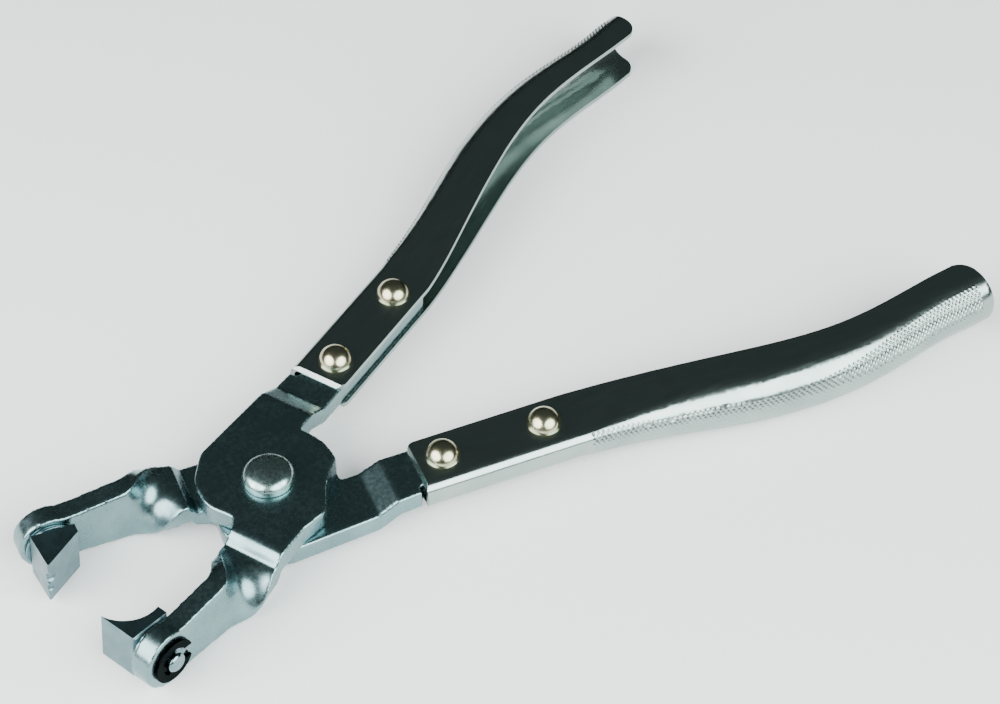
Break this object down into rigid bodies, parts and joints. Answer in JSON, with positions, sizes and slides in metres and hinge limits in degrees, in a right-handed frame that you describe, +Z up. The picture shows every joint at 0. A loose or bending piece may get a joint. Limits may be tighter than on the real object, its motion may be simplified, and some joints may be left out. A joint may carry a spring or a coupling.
{
  "type": "hose clamp pliers",
  "caption": "Hose clamp pliers with crossed flat arms, channel handles and swivelling jaws that pinch the ears of a spring hose clamp.",
  "frame": {"origin": "on the pivot axis, on the flat underside of the pivot rivet", "axes": "+X from the pivot towards the handle ends, midway between the handles; +Y towards the cradle handle; +Z up along the pivot axis, out of the domed head of the pivot rivet"},
  "size_m": [0.188, 0.1178, 0.0143],
  "materials": {
    "arm_plating": "bright nickel plating over a tumbled steel stamping",
    "handle_plating": "bright nickel plating over pressed sheet steel, knurled grip",
    "pivot_plating": "bright nickel plated rivet",
    "rivet_plating": "steel rivet with a faint yellow passivation",
    "jaw_plating": "bright nickel plated machined steel",
    "pin_steel": "turned and plated steel",
    "clip_black": "black oiled spring steel"
  },
  "bodies": {
    "cradle_lever": {"cradle_arm": "arm_plating", "pivot_rivet": "pivot_plating", "cradle_handle": "handle_plating", "cradle_front_rivet": "rivet_plating", "cradle_rear_rivet": "rivet_plating"},
    "wedge_lever": {"wedge_arm": "arm_plating", "wedge_handle": "handle_plating", "wedge_front_rivet": "rivet_plating", "wedge_rear_rivet": "rivet_plating"},
    "cradle_swivel": {"cradle_jaw": "jaw_plating", "cradle_pin": "pin_steel", "cradle_clip": "clip_black"},
    "wedge_swivel": {"wedge_jaw": "jaw_plating", "wedge_pin": "pin_steel", "wedge_clip": "clip_black"}
  },
  "joints": [
    {"name": "lever_pivot", "type": "hinge", "parent": "cradle_lever", "child": "wedge_lever", "pos_m": [0, 0, 0.00637], "axis": [0, 0, 1], "range_deg": [-25, 19.5]},
    {"name": "cradle_jaw_swivel", "type": "hinge", "parent": "cradle_lever", "child": "cradle_swivel", "pos_m": [-0.03815, -0.01752, 0.00637], "axis": [0.1754, -0.9845, 0], "continuous": true},
    {"name": "wedge_jaw_swivel", "type": "hinge", "parent": "wedge_lever", "child": "wedge_swivel", "pos_m": [-0.03851, 0.01963, 0.00637], "axis": [0.2605, 0.9655, 0], "continuous": true}
  ]
}
